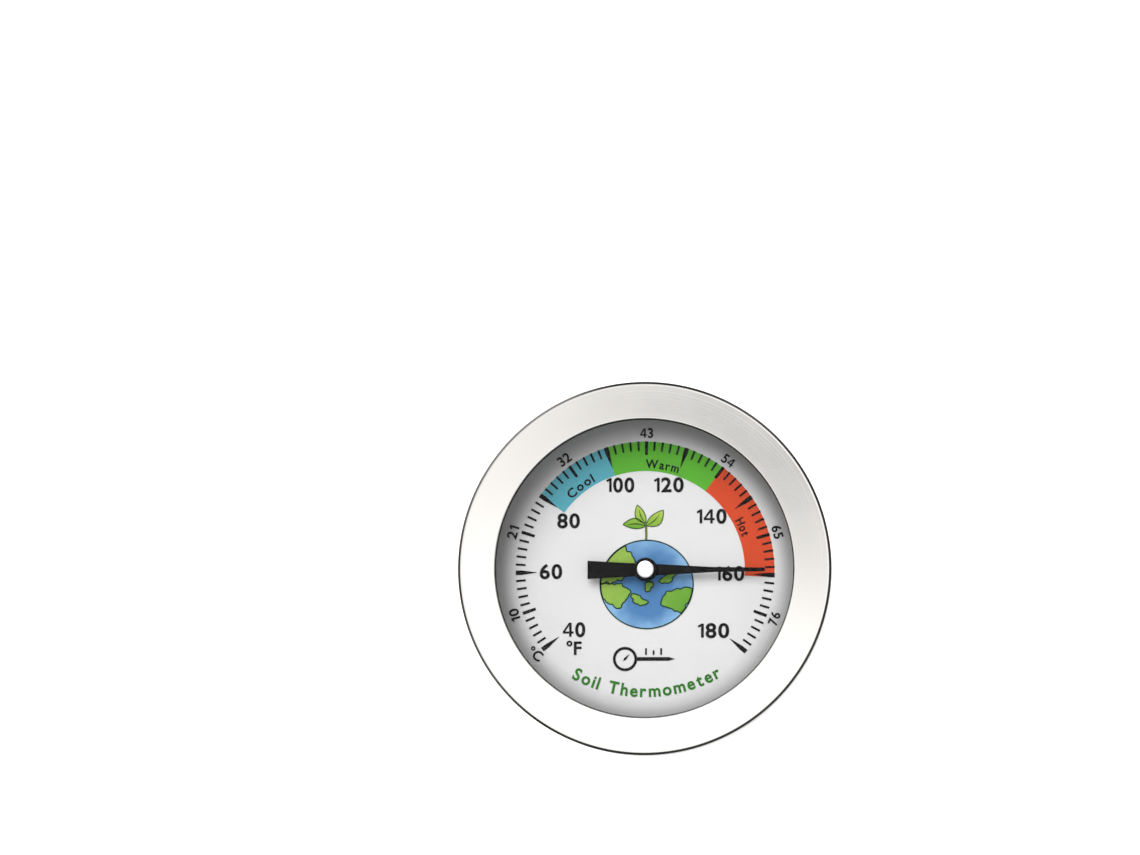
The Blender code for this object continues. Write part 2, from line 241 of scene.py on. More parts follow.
def skin(bm, sections, closed=True):
    """Cover a run of sections of equal length; an open run gets a face on each end."""
    loops = [[bm.verts.new(point) for point in section] for section in sections]
    pairs = list(zip(loops, loops[1:]))
    if closed:
        pairs.append((loops[-1], loops[0]))
    for near, far in pairs:
        bridge(bm, near, far, len(near))
    if not closed:
        bm.faces.new(loops[0])
        bm.faces.new(loops[-1])


# ---- node helpers

# Colour sockets of Blender's Mix node
MIX_SHARE = 0
MIX_FIRST = 6
MIX_SECOND = 7
MIX_RESULT = 2


def new_material(name):
    material = bpy.data.materials.new(name)
    material.use_nodes = True
    tree = material.node_tree
    return material, tree, tree.nodes["Principled BSDF"]


def feed(tree, socket, value):
    if isinstance(value, bpy.types.NodeSocket):
        tree.links.new(value, socket)
    else:
        socket.default_value = value


def node(tree, kind, inputs=None, output=0, **settings):
    """Add a shader node, set its properties and inputs, and return one of its outputs."""
    made = tree.nodes.new("ShaderNode" + kind)
    for key, value in settings.items():
        setattr(made, key, value)
    for key, value in (inputs or {}).items():
        feed(tree, made.inputs[key], value)
    return made.outputs[output]


def calc(tree, operation, first, second):
    return node(tree, "Math", {0: first, 1: second}, operation=operation)


def object_place(tree):
    return node(tree, "TexCoord", output="Object")


def vector_calc(tree, operation, first, second, output=0):
    inputs = {0: first, 1: second}
    return node(tree, "VectorMath", inputs, output, operation=operation)


def vector_length(tree, vector):
    return node(tree, "VectorMath", {0: vector}, "Value", operation="LENGTH")


def separate(tree, vector):
    parts = tree.nodes.new("ShaderNodeSeparateXYZ")
    tree.links.new(vector, parts.inputs[0])
    return parts.outputs


def noise(tree, place, scale, detail=3.0, roughness=0.5):
    inputs = {"Vector": place, "Scale": scale, "Detail": detail, "Roughness": roughness}
    return node(tree, "TexNoise", inputs)


def spread(tree, value, low=0.0, high=1.0, from_low=0.3, from_high=0.7):
    """Map a value on to a range. The span it comes from is a noise's, unless stated."""
    source = {"Value": value, "From Min": from_low, "From Max": from_high}
    return node(tree, "MapRange", {**source, "To Min": low, "To Max": high})


def blend_colours(tree, share, first, second):
    made = tree.nodes.new("ShaderNodeMix")
    made.data_type = "RGBA"
    feed(tree, made.inputs[MIX_SHARE], share)
    feed(tree, made.inputs[MIX_FIRST], (*first, 1.0) if isinstance(first, tuple) else first)
    feed(tree, made.inputs[MIX_SECOND], (*second, 1.0) if isinstance(second, tuple) else second)
    return made.outputs[MIX_RESULT]


def colour_surface(tree, shader, share, first, second):
    feed(tree, shader.inputs["Base Color"], blend_colours(tree, share, first, second))


def wandering(tree, value, cloud, reach):
    """A value moved to and fro by a noise."""
    sway = calc(tree, "MULTIPLY", calc(tree, "SUBTRACT", cloud, 0.5), reach)
    return calc(tree, "ADD", value, sway)


def bump(tree, height, strength, distance):
    inputs = {"Height": height, "Strength": strength, "Distance": distance}
    return node(tree, "Bump", inputs)


def radius_and_height(tree):
    """Distance from the stem's axis, and height, of the place that is shaded."""
    x, y, height = separate(tree, object_place(tree))
    flat = node(tree, "CombineXYZ", {0: x, 1: y})
    return vector_length(tree, flat), height


# ---- materials

# Radii between which painted shade turns the dial's white grey, standing in for the shade in the
# recess under the bezel
PAINTED_SHADE_START = 20.6 * MM
PAINTED_SHADE_END = 24.5 * MM


def grey(level):
    return (level, level, level)


def turned_marks(tree):
    """Rings round the axis, as a lathe leaves them."""
    radius, height = radius_and_height(tree)
    return node(tree, "CombineXYZ", {0: radius, 1: height})


def drawn_marks(tree):
    """Long streaks along the stem."""
    return vector_calc(tree, "MULTIPLY", object_place(tree), (1.0, 1.0, 0.02))


def metal(name, colour, roughness, groove_scale, tint=0.03, groove=turned_marks):
    """Bare metal: groove gives the place its fine marks are drawn in."""
    material, tree, shader = new_material(name)
    marks = noise(tree, groove(tree), groove_scale, 4.0, 0.6)
    patches = noise(tree, object_place(tree), 90.0, 4.0, 0.6)
    darker = tuple(channel * (1.0 - 2 * tint) for channel in colour)
    colour_surface(tree, shader, spread(tree, patches), colour, darker)
    smudge = spread(tree, patches, -0.15 * roughness, 0.15 * roughness)
    rough = calc(tree, "ADD", spread(tree, marks, 0.8 * roughness, 1.25 * roughness), smudge)
    feed(tree, shader.inputs["Roughness"], rough)
    feed(tree, shader.inputs["Normal"], bump(tree, marks, 0.25, 0.002 * MM))
    shader.inputs["Metallic"].default_value = 1.0
    return material


def enamel():
    """Satin white dial. Its rising rim carries painted shade, a grey that deepens outwards, on top
    of the real shading in the recess under the bezel.
    """
    material, tree, shader = new_material("dial_enamel")
    radius, _ = radius_and_height(tree)
    span = {"Value": radius, "From Min": PAINTED_SHADE_START, "From Max": PAINTED_SHADE_END}
    shade = node(tree, "MapRange", span, interpolation_type="SMOOTHSTEP")
    mottle = noise(tree, object_place(tree), 400.0, 3.0)
    white = blend_colours(tree, spread(tree, mottle), grey(0.695), grey(0.68))
    # Painted shade: the white is mixed towards grey further from the axis, darker than the enamel
    # itself
    colour_surface(tree, shader, shade, white, grey(0.27))
    feed(tree, shader.inputs["Roughness"], spread(tree, mottle, 0.40, 0.50))
    shader.inputs["Specular IOR Level"].default_value = 0.2
    peel = noise(tree, object_place(tree), 1500.0, 2.0)
    feed(tree, shader.inputs["Normal"], bump(tree, peel, 0.15, 0.01 * MM))
    return material


def finish_ink(tree, shader, film):
    """The dull sheen and faint unevenness that every printed film shares."""
    feed(tree, shader.inputs["Roughness"], spread(tree, film, 0.42, 0.56))
    feed(tree, shader.inputs["Normal"], bump(tree, film, 0.2, 0.004 * MM))
    shader.inputs["Specular IOR Level"].default_value = 0.12


def ink(name, colour):
    """Screen-printed ink with a slightly uneven film."""
    material, tree, shader = new_material(name)
    film = noise(tree, object_place(tree), 2500.0, 3.0, 0.6)
    thin = tuple(channel * 1.18 + 0.003 for channel in colour)
    colour_surface(tree, shader, spread(tree, film), colour, thin)
    finish_ink(tree, shader, film)
    return material


def graded_ink(name, low_colour, high_colour, centre, reach, direction):
    """Ink that shades from one colour to another along a direction across the emblem."""
    material, tree, shader = new_material(name)
    offset = vector_calc(tree, "SUBTRACT", object_place(tree), centre)
    along = vector_calc(tree, "DOT_PRODUCT", offset, direction, "Value")
    film = noise(tree, object_place(tree), 900.0, 3.0, 0.6)
    share = spread(tree, wandering(tree, along, film, reach), 0.0, 1.0, -reach, reach)
    colour_surface(tree, shader, share, low_colour, high_colour)
    finish_ink(tree, shader, film)
    return material


def grained(name, colours, look, rough, relief):
    """Material whose colour, roughness and relief all follow one fine grain. Its look is
    (scale, detail, roughness), rough is a range and relief is (strength, depth)."""
    material, tree, shader = new_material(name)
    grain = noise(tree, object_place(tree), *look)
    colour_surface(tree, shader, grain, *colours)
    feed(tree, shader.inputs["Roughness"], spread(tree, grain, *rough))
    feed(tree, shader.inputs["Normal"], bump(tree, grain, *relief))
    return material, shader


def black_paint():
    blacks = (grey(0.003), grey(0.008))
    look = (1800.0, 4.0, 0.6)
    material, shader = grained("pointer_paint", blacks, look, (0.38, 0.52), (0.2, 0.006 * MM))
    shader.inputs["Specular IOR Level"].default_value = 0.06
    return material


def rubber():
    blacks = (grey(0.010), grey(0.022))
    look = (3000.0, 4.0, 0.7)
    material, _ = grained("seal_rubber", blacks, look, (0.6, 0.8), (0.4, 0.02 * MM))
    return material


def nylon():
    creams = ((0.80, 0.78, 0.71), (0.86, 0.84, 0.78))
    look = (1200.0, 3.0, 0.5)
    material, shader = grained("guide_nylon", creams, look, (0.42, 0.58), (0.2, 0.01 * MM))
    shader.inputs["Subsurface Weight"].default_value = 0.15
    return material


def clear_glass():
    """Flat clear glass with faint smears in its polish and a weak reflection."""
    material, tree, shader = new_material("window_glass")
    smears = noise(tree, object_place(tree), 120.0, 4.0, 0.65)
    shader.inputs["Base Color"].default_value = (*grey(1.0), 1.0)
    feed(tree, shader.inputs["Roughness"], spread(tree, smears, 0.0, 0.012, 0.45, 0.8))
    shader.inputs["Transmission Weight"].default_value = 1.0
    shader.inputs["IOR"].default_value = 1.45
    shader.inputs["Specular Tint"].default_value = (*grey(0.07), 1.0)
    return material


MATERIALS = {
    "bezel": metal("bezel_steel", (0.80, 0.78, 0.75), 0.17, 5000.0, 0.01),
    "case": metal("case_steel", (0.74, 0.73, 0.71), 0.24, 4000.0),
    "nut": metal("nut_steel", (0.74, 0.73, 0.71), 0.20, 3000.0),
    "stem": metal("stem_steel", (0.76, 0.75, 0.73), 0.16, 4000.0, groove=drawn_marks),
    "spring": metal("spring_steel", (0.50, 0.50, 0.52), 0.35, 4000.0),
    "bimetal": metal("bimetal_strip", (0.66, 0.57, 0.44), 0.32, 5000.0, 0.06),
    "brass": metal("turned_brass", (0.78, 0.58, 0.28), 0.26, 4000.0, 0.05),
    "aluminium": metal("bright_aluminium", (0.90, 0.90, 0.91), 0.34, 6000.0, 0.01),
    "enamel": enamel(),
    "black": ink("scale_black", grey(0.004)),
    "pointer": black_paint(),
    "rubber": rubber(),
    "nylon": nylon(),
    "glass": clear_glass(),
    "cool": ink("zone_cool_blue", (0.090, 0.335, 0.41)),
    "warm": ink("zone_warm_green", (0.092, 0.36, 0.032)),
    "hot": ink("zone_hot_red", (0.55, 0.062, 0.022)),
    "title": ink("title_green", (0.026, 0.150, 0.015)),
}


def stand_in(name, cad_node, bm, finish, body, smooth_angle=40.0):
    """Show a piece in place of a CAD node."""
    piece = add_object(name, bm, MATERIALS[finish], body, smooth_angle)
    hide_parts(cad_node)
    return piece


def box_ring(cad_node, inner, fillets, steps, segments=ROUND_SEGMENTS):
    """A ring as wide and as high as a CAD node's box, hollow to an inner radius. Its fillets,
    in millimetres, go from the inner corner of its foot out and round."""
    low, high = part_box(cad_node)
    section = ((inner, low.z), (high.x, low.z), (high.x, high.z), (inner, high.z))
    corners = [(*corner, fillet * MM) for corner, fillet in zip(section, fillets)]
    return lathe(filleted(corners, steps), segments)


# ---- dial surface


def dial_height(radius):
    """Height of the dial's face at a distance from the axis."""
    if radius <= DISH_INNER_RADIUS:
        return DIAL_PLANE
    along = (radius - DISH_INNER_RADIUS) / (DISH_OUTER_RADIUS - DISH_INNER_RADIUS)
    return DIAL_PLANE + (DIAL_HIGH.z - DIAL_PLANE) * min(along, 1.0) ** 2


def printed(name, bm, material, layer):
    """Lay a flat bmesh, with height 0 or 1 in its points, on the dial as a film of ink."""
    for vert in bm.verts:
        lift = layer * LAYER + (INK if vert.co.z > 0.5 else 0.0)
        x = vert.co.x + PRINT_SHIFT.x
        y = vert.co.y + PRINT_SHIFT.y
        vert.co = (x, y, dial_height(math.hypot(x, y)) + lift)
    add_object(name, bm, material, "head", 30.0)


def print_black(name, bm):
    printed(name, bm, MATERIALS["black"], TOP_LAYER)


def add_patch(bm, outline):
    """A flat solid of unit height, to be printed, from a closed outline of (x, y)."""
    skin(bm, [[(x, y, height) for x, y in outline] for height in (0.0, 1.0)], False)


def add_band(bm, left, right, closed=False):
    """A flat solid of unit height between two lines of (x, y) points of equal length."""
    sides = zip(left, right)
    skin(bm, [((*a, 0.0), (*b, 0.0), (*b, 1.0), (*a, 1.0)) for a, b in sides], closed)


def add_stroke(bm, stroke, closed=False):
    """A band along a run of (middle, aside), as far out to each side as aside says."""
    left = [tuple(middle + aside) for middle, aside in stroke]
    right = [tuple(middle - aside) for middle, aside in stroke]
    add_band(bm, left, right, closed)


def polar(radius, degrees):
    angle = math.radians(degrees)
    return (radius * math.cos(angle), radius * math.sin(angle))


def reading_angle(reading):
    """Where a temperature lies on the dial, in degrees anticlockwise from +X."""
    return MIDDLE_ANGLE - (reading - MIDDLE_READING) * DEGREES_PER_READING


# ---- scale and zones

# Each kind of mark: outer width, inner width, length, how far in its shoulder lies
LABEL_TICK = (0.74 * MM, 0.05 * MM, 3.45 * MM, 1.0 * MM)
MIDDLE_TICK = (0.50 * MM, 0.44 * MM, 2.25 * MM, 1.1 * MM)
MINOR_TICK = (0.34 * MM, 0.32 * MM, 1.6 * MM, 0.8 * MM)

# Each zone: name, material, first and last reading, degrees of arc left off its end
ZONES = (
    ("zone_cool", "cool", 80, 100, 0.0),
    ("zone_warm", "warm", 100, 130, 0.0),
    ("zone_hot", "hot", 130, 160, 0.9),
)


def add_tick(bm, degrees, outer_width, inner_width, length, shoulder):
    """A mark from the tick circle inwards, which narrows below its shoulder."""
    along = Vector(polar(1.0, degrees))
    across = Vector((-along.y, along.x))
    stations = [(0.0, outer_width), (shoulder, outer_width), (length, inner_width)]
    add_stroke(bm, [(along * (TICK_OUTER - depth), across * width / 2) for depth, width in stations])


def make_ticks():
    bm = bmesh.new()
    for reading in range(SCALE_LOW, SCALE_HIGH + 1, MINOR_STEP):
        if reading % LABEL_STEP == 0:
            kind = LABEL_TICK
        elif reading % (LABEL_STEP // 2) == 0:
            kind = MIDDLE_TICK
        else:
            kind = MINOR_TICK
        add_tick(bm, reading_angle(reading), *kind)
    print_black("scale_ticks", bm)


def make_zone(name, material, low, high, trim):
    """A coloured band behind part of the scale."""
    start = reading_angle(low)
    end = reading_angle(high) - trim
    steps = max(2, round(abs(end - start)))
    angles = [start + (end - start) * i / steps for i in range(steps + 1)]
    bm = bmesh.new()
    inner = [polar(BAND_INNER, angle) for angle in angles]
    outer = [polar(BAND_OUTER, angle) for angle in angles]
    add_band(bm, inner, outer)
    printed(name, bm, MATERIALS[material], 1)


# ---- lettering

FONT_CAP_HEIGHT = 0.688
CAP = 1.0
BOLD = 0.038  # how far an outline is pushed out, as a share of its cap height
MEDIUM = 0.033

# Figures drawn here: a one with a flag and no foot, and a four whose counter stays open
ONE = [
    [(0.22, 0.0), (0.40, 0.0), (0.40, CAP), (0.25, CAP), (0.0, 0.84), (0.07, 0.71), (0.22, 0.80)],
]
FOUR = [
    [(0.45, 0.0), (0.62, 0.0), (0.62, 0.23), (0.76, 0.23), (0.76, 0.37), (0.62, 0.37), (0.62, CAP),
     (0.43, CAP), (0.0, 0.36), (0.0, 0.23), (0.45, 0.23)],
    [(0.45, 0.37), (0.16, 0.37), (0.45, 0.79)],
]
DRAWN_FIGURES = {"1": ONE, "4": FOUR}


def flat_solid(curve):
    """Points, faces and width of a flat curve made solid from height 0 to 1."""
    curve.extrude = 0.5
    holder = link_object("letter", curve)
    bpy.context.view_layer.update()
    solid = holder.evaluated_get(bpy.context.evaluated_depsgraph_get())
    mesh = bpy.data.meshes.new_from_object(solid)
    bpy.data.objects.remove(holder)
    bpy.data.curves.remove(curve)
    corners = [tuple(vert.co) for vert in mesh.vertices]
    faces = [tuple(face.vertices) for face in mesh.polygons]
    bpy.data.meshes.remove(mesh)
    low = min(corners)[0]
    width = max(corners)[0] - low
    points = [(x - low, y, 1.0 if z > 0.0 else 0.0) for x, y, z in corners]
    return points, faces, width


def font_glyph(letter, weight):
    """A letter of Blender's own font with a cap height of one."""
    curve = bpy.data.curves.new("letter", "FONT")
    curve.body = letter
    curve.size = CAP / FONT_CAP_HEIGHT
    curve.offset = weight
    curve.resolution_u = 5
    return flat_solid(curve)


def drawn_glyph(loops):
    """A figure from closed outlines, of which the inner ones are holes."""
    curve = bpy.data.curves.new("figure", "CURVE")
    curve.dimensions = "2D"
    curve.fill_mode = "BOTH"
    for loop in loops:
        spline = curve.splines.new("POLY")
        spline.points.add(len(loop) - 1)
        for point, (x, y) in zip(spline.points, loop):
            point.co = (x, y, 0.0, 1.0)
        spline.use_cyclic_u = True
    return flat_solid(curve)


@functools.cache
def glyph(letter, weight):
    drawn = DRAWN_FIGURES.get(letter)
    return drawn_glyph(drawn) if drawn else font_glyph(letter, weight)


def line_width(text, gap, space, weight):
    widths = [space if letter == " " else glyph(letter, weight)[2] for letter in text]
    return sum(widths) + gap * (len(text) - 1)


def add_line(bm, text, height, place, width, gap=0.11, space=0.34, weight=MEDIUM):
    """Set a line of text centred on x 0 with its baseline on y 0, stretched to a width, and
    put each point where place(x, y) says. Gap and space are shares of the height."""
    natural = line_width(text, gap, space, weight) * height
    stretch = width / natural
    cursor = -natural / 2
    for letter in text:
        if letter == " ":
            cursor += (space + gap) * height
            continue
        points, faces, advance = glyph(letter, weight)
        verts = []
        for x, y, top in points:
            verts.append(bm.verts.new((*place((cursor + x * height) * stretch, y * height), top)))
        for face in faces:
            bm.faces.new([verts[i] for i in face])
        cursor += (advance + gap) * height


def straight(base, degrees=0.0):
    """Place for text on a straight line: the middle of its foot and the way it runs."""
    along = Vector(polar(1.0, degrees))
    up = Vector((-along.y, along.x))
    return lambda x, y: tuple(base + along * x + up * y)


def arched(degrees, base_radius, outward=True, rise=0.0):
    """Place for text that follows a circle, its top facing outwards or inwards. A rise puts
    the circle's centre over the print's."""
    turn = -1.0 if outward else 1.0

    def place(x, y):
        angle = math.radians(degrees) + turn * x / base_radius
        radius = base_radius - turn * y
        return (radius * math.cos(angle), rise + radius * math.sin(angle))

    return place


# Each Fahrenheit number: its middle, counted from the print's centre, and width, in millimetres
FAHRENHEIT = {
    40: ((-11.72, -9.75), 3.72),
    60: ((-15.56, -0.15), 3.72),
    80: ((-12.65, 8.25), 3.75),
    100: ((-4.1, 14.15), 4.65),
    120: ((3.92, 14.15), 4.95),
    140: ((10.98, 8.90), 4.95),
    160: ((13.95, -0.55), 4.85),
    180: ((11.26, -9.95), 5.2),
}
FAHRENHEIT_HEIGHT = 2.3 * MM
CELSIUS_HEIGHT = 1.5 * MM
CELSIUS_WIDTH = 2.15 * MM
CELSIUS_GAP = 0.12
LAST_CELSIUS = 170  # beside this reading the Celsius number has its top towards the middle


def make_fahrenheit_numerals():
    bm = bmesh.new()
    for reading, ((x, y), width) in FAHRENHEIT.items():
        place = straight(Vector((x * MM, y * MM - FAHRENHEIT_HEIGHT / 2)))
        add_line(bm, str(reading), FAHRENHEIT_HEIGHT, place, width * MM, weight=BOLD)
    print_black("fahrenheit_numerals", bm)


# How far each Celsius number is turned from its tick, in degrees anticlockwise
CELSIUS_TURN = {50: -0.4, 70: 1.2}


def make_celsius_numerals():
    bm = bmesh.new()
    for reading in range(SCALE_LOW + LABEL_STEP // 2, SCALE_HIGH, LABEL_STEP):
        outward = 1.0 if reading < LAST_CELSIUS else -1.0
        degrees = reading_angle(reading) + CELSIUS_TURN.get(reading, 0.0)
        base = Vector(polar(CELSIUS_RADIUS - outward * CELSIUS_HEIGHT / 2, degrees))
        place = straight(base, degrees - outward * 90.0)
        celsius = str(int((reading - 32) / 1.8))
        add_line(bm, celsius, CELSIUS_HEIGHT, place, CELSIUS_WIDTH, CELSIUS_GAP)
    print_black("celsius_numerals", bm)


def make_unit_marks():
    """The one for Fahrenheit stands under its lowest number, the other off the scale's end."""
    bm = bmesh.new()
    add_line(bm, "°F", 2.1 * MM, straight(Vector((-11.72, -13.85)) * MM), 2.5 * MM)
    height = 1.6 * MM
    lean = -34.0
    base = Vector(polar(CELSIUS_RADIUS, 217.3)) - Vector(polar(height / 2, lean + 90.0))
    add_line(bm, "°C", height, straight(base, lean), 2.4 * MM)
    print_black("unit_marks", bm)


# Each word in a zone: its text, where it is centred in degrees, its width
ZONE_WORDS = (
    ("Cool", 127.4, 4.9 * MM),
    ("Warm", 80.5, 5.4 * MM),
    ("Hot", 23.8, 2.9 * MM),
)
ZONE_WORD_RADIUS = 16.95 * MM


def make_zone_words():
    bm = bmesh.new()
    height = 1.4 * MM
    for word, degrees, width in ZONE_WORDS:
        place = arched(degrees, ZONE_WORD_RADIUS)
        add_line(bm, word, height, place, width, gap=0.2, weight=0.036)
    print_black("zone_words", bm)


def make_title():
    """Name of the kind of instrument, along the bottom of the dial, on a flatter curve."""
    bm = bmesh.new()
    height = 1.95 * MM
    width = 25.9 * MM
    place = arched(270.6, 25.2 * MM, False, 4.38 * MM)
    add_line(bm, "Soil Thermometer", height, place, width, gap=0.20, space=0.44, weight=BOLD)
    printed("dial_title", bm, MATERIALS["title"], TOP_LAYER)


# ---- emblem

GLOBE_CENTRE = Vector((0.26, -2.31)) * MM
GLOBE_RADIUS = 7.68 * MM
GLOBE_SQUASH = 0.95  # height over width
GLOBE_PLACE = (*(GLOBE_CENTRE + PRINT_SHIFT), DIAL_PLANE)
OUTLINE_WIDTH = 0.20 * MM
LEAF_LINE_WIDTH = 0.14 * MM


def circle_points(centre, radius, count, squash=1.0):
    points = []
    for i in range(count):
        x, y = polar(radius, 360.0 * i / count)
        points.append(tuple(centre + Vector((x, squash * y))))
    return points


def globe_points():
    return circle_points(GLOBE_CENTRE, GLOBE_RADIUS, ROUND_SEGMENTS, GLOBE_SQUASH)


def add_outline(bm, points, width=OUTLINE_WIDTH):
    """A closed line of even width along a closed run of points."""
    stroke = []
    for i, point in enumerate(points):
        ahead = Vector(points[(i + 1) % len(points)]) - Vector(points[i - 1])
        stroke.append((Vector(point), Vector((-ahead.y, ahead.x)).normalized() * width / 2))
    add_stroke(bm, stroke, True)


def island(centre, radius, squash, tilt, lobes, count=120):
    """A rounded patch of land. Each lobe is (waves round the patch, depth, phase)."""
    points = []
    for i in range(count):
        angle = math.tau * i / count
        swell = sum(depth * math.sin(waves * angle + phase) for waves, depth, phase in lobes)
        reach = radius * (1.0 + swell)
        spoke = Vector((reach * math.cos(angle), squash * reach * math.sin(angle)))
        spoke.rotate(Matrix.Rotation(tilt, 2))
        points.append(inside_globe((Vector(centre) + spoke) * MM))
    return points


def inside_globe(spoke):
    """Pull a point in to the globe's edge if it lies beyond it."""
    limit = GLOBE_RADIUS - OUTLINE_WIDTH / 2
    rounded = Vector((spoke.x, spoke.y / GLOBE_SQUASH))
    if rounded.length > limit:
        rounded = rounded * (limit / rounded.length)
    return tuple(GLOBE_CENTRE + Vector((rounded.x, rounded.y * GLOBE_SQUASH)))


# Each island: centre and radius in millimetres, height over width, tilt, lobes of its coast.
# The centre is counted from the globe's.
ISLANDS = (
    ((-5.4, 3.4), 2.9, 1.3, -0.35,
     ((2, 0.10, 0.4), (3, 0.12, 1.6), (5, 0.07, 0.3), (9, 0.05, 0.8), (17, 0.03, 0.1))),
    ((-5.3, -1.6), 2.2, 0.95, 0.1,
     ((2, 0.14, 2.6), (3, 0.12, 0.2), (5, 0.09, 1.9), (8, 0.05, 0.4), (15, 0.03, 1.0))),
    ((-1.3, -2.6), 1.25, 0.62, -0.25,
     ((2, 0.24, 2.9), (3, 0.16, 1.4), (5, 0.09, 1.0), (9, 0.05, 0.2))),
    ((0.35, -0.3), 0.75, 0.95, 0.5,
     ((2, 0.16, 0.2), (3, 0.16, 2.2), (7, 0.05, 0.9))),
    ((3.6, 1.1), 1.35, 0.55, 0.5,
     ((2, 0.22, 0.9), (3, 0.18, 0.2), (4, 0.10, 1.4), (9, 0.05, 0.6))),
    ((5.1, -2.5), 2.1, 1.05, 0.55,
     ((2, 0.18, 1.9), (3, 0.15, 0.8), (4, 0.10, 2.2), (7, 0.06, 0.2), (13, 0.03, 1.3))),
)


def sea_ink():
    """Blue that pales towards the rim of the globe and in soft wandering patches."""
    material, tree, shader = new_material("globe_sea")
    reach = vector_length(tree, vector_calc(tree, "SUBTRACT", object_place(tree), GLOBE_PLACE))
    cloud = noise(tree, object_place(tree), 260.0, 2.0)
    from_centre = wandering(tree, reach, cloud, 6.0 * MM)
    share = spread(tree, from_centre, 0.0, 1.0, 4.6 * MM, 8.4 * MM)
    film = noise(tree, object_place(tree), 2500.0, 3.0, 0.6)
    colour_surface(tree, shader, share, (0.075, 0.20, 0.42), (0.26, 0.48, 0.72))
    finish_ink(tree, shader, film)
    return material


def make_globe():
    """Sea, with a hole for the pointer's shaft, then the islands and every outline."""
    greens = ((0.30, 0.465, 0.085), (0.12, 0.32, 0.035))
    land = graded_ink("globe_land", *greens, GLOBE_PLACE, 7.0 * MM, (0.8, -0.6, 0.0))
    line = ink("emblem_line", (0.008, 0.028, 0.020))
    coasts = [island(*shape) for shape in ISLANDS]
    bm = bmesh.new()
    hole = circle_points(-PRINT_SHIFT, DIAL_HOLE_RADIUS + 0.1 * MM, ROUND_SEGMENTS)
    add_band(bm, hole, globe_points(), True)
    printed("emblem_sea", bm, sea_ink(), 1)
    bm = bmesh.new()
    for points in coasts:
        add_patch(bm, points)
    printed("emblem_land", bm, land, 2)
    bm = bmesh.new()
    add_outline(bm, globe_points())
    for points in coasts:
        add_outline(bm, points)
    printed("emblem_outlines", bm, line, LINE_LAYER)


def leaf(base, degrees, reach, width, bend, count=28):
    """A pointed leaf from its base, with its middle line bent to one side."""
    along = Vector(polar(1.0, degrees))
    across = Vector((-along.y, along.x))
    left = []
    right = []
    for i in range(count + 1):
        share = i / count
        bow = math.sin(math.pi * share)
        half = width / 2 * bow ** 0.85 * (1.15 - 0.3 * share)
        middle = Vector(base) + along * (reach * share) + across * (bend * bow)
        left.append(tuple((middle + across * half) * MM))
        right.append(tuple((middle - across * half) * MM))
    return left + right[-2:0:-1]


def leaf_vein(base, degrees, reach, bend):
    """The middle line of most of a leaf as a thin closed sliver."""
    share = 0.8
    return leaf(base, degrees, reach * share, 0.16, bend * share, 12)


SPROUT_TOP = (0.16, 7.45)
# Each leaf: base, direction in degrees, length, width, bend, the rest in millimetres
LEAVES = (
    ((0.06, 7.35), 176.0, 3.7, 1.7, -0.30),
    ((0.06, 7.8), 114.0, 3.3, 1.6, 0.25),
    ((0.21, 7.4), 42.0, 3.8, 1.9, -0.35),
)


def make_sprout():
    centre = (SPROUT_TOP[0] * MM, (SPROUT_TOP[1] + 1.2) * MM, DIAL_PLANE)
    greens = ((0.13, 0.33, 0.03), (0.42, 0.56, 0.10))
    leaf_green = graded_ink("leaf_green", *greens, centre, 2.2 * MM, (0.2, 0.98, 0.0))
    line = ink("leaf_line", (0.02, 0.05, 0.008))
    outlines = bmesh.new()
    for number, (base, degrees, reach, width, bend) in enumerate(LEAVES, 1):
        bm = bmesh.new()
        points = leaf(base, degrees, reach, width, bend)
        add_patch(bm, points)
        printed(f"emblem_leaf_{number}", bm, leaf_green, number)
        add_outline(outlines, points, LEAF_LINE_WIDTH)
        add_patch(outlines, leaf_vein(base, degrees, reach, bend))
    printed("emblem_leaf_outlines", outlines, line, LINE_LAYER)
    bm = bmesh.new()
    foot = (GLOBE_CENTRE.y + GLOBE_RADIUS * GLOBE_SQUASH) / MM
    stalk = [(0.18, foot), (0.22, foot + 0.9), (SPROUT_TOP[0], SPROUT_TOP[1] + 0.2)]
    aside = Vector((-0.20, 0.0)) * MM
    add_stroke(bm, [(Vector(point) * MM, aside) for point in stalk])
    printed("emblem_stalk", bm, ink("stalk_brown", (0.12, 0.14, 0.04)), 1)


def make_pictogram():
    """A plain sign for a probe thermometer: a small dial with a hand, and its stem."""
    bm = bmesh.new()
    centre = Vector((-3.3, -14.6)) * MM
    radius = 2.0 * MM
    ring = 0.45 * MM
    segments = 72
    inner = circle_points(centre, radius - ring, segments)
    add_band(bm, inner, circle_points(centre, radius, segments), True)
    hand = Vector((0.8, 0.9)) * MM
    side = Vector((-hand.y, hand.x)).normalized() * 0.2 * MM
    hand_points = (centre - side, centre + hand, centre + side, centre - hand * 0.4)
    add_patch(bm, [tuple(point) for point in hand_points])
    start = centre.x + radius
    tip = 4.9 * MM
    shoulder = tip - 1.0 * MM
    half = 0.3 * MM
    low = centre.y - half
    high = centre.y + half
    add_patch(bm, [(start, low), (shoulder, low), (tip, centre.y), (shoulder, high), (start, high)])
    foot = centre.y + 2.2 * half
    for x, rise in ((0.0, 1.1), (1.25, 0.75), (2.5, 1.1)):
        left = x * MM
        right = left + 0.3 * MM
        top = foot + rise * MM
        add_patch(bm, [(left, foot), (right, foot), (right, top), (left, top)])
    print_black("dial_pictogram", bm)


# ---- head


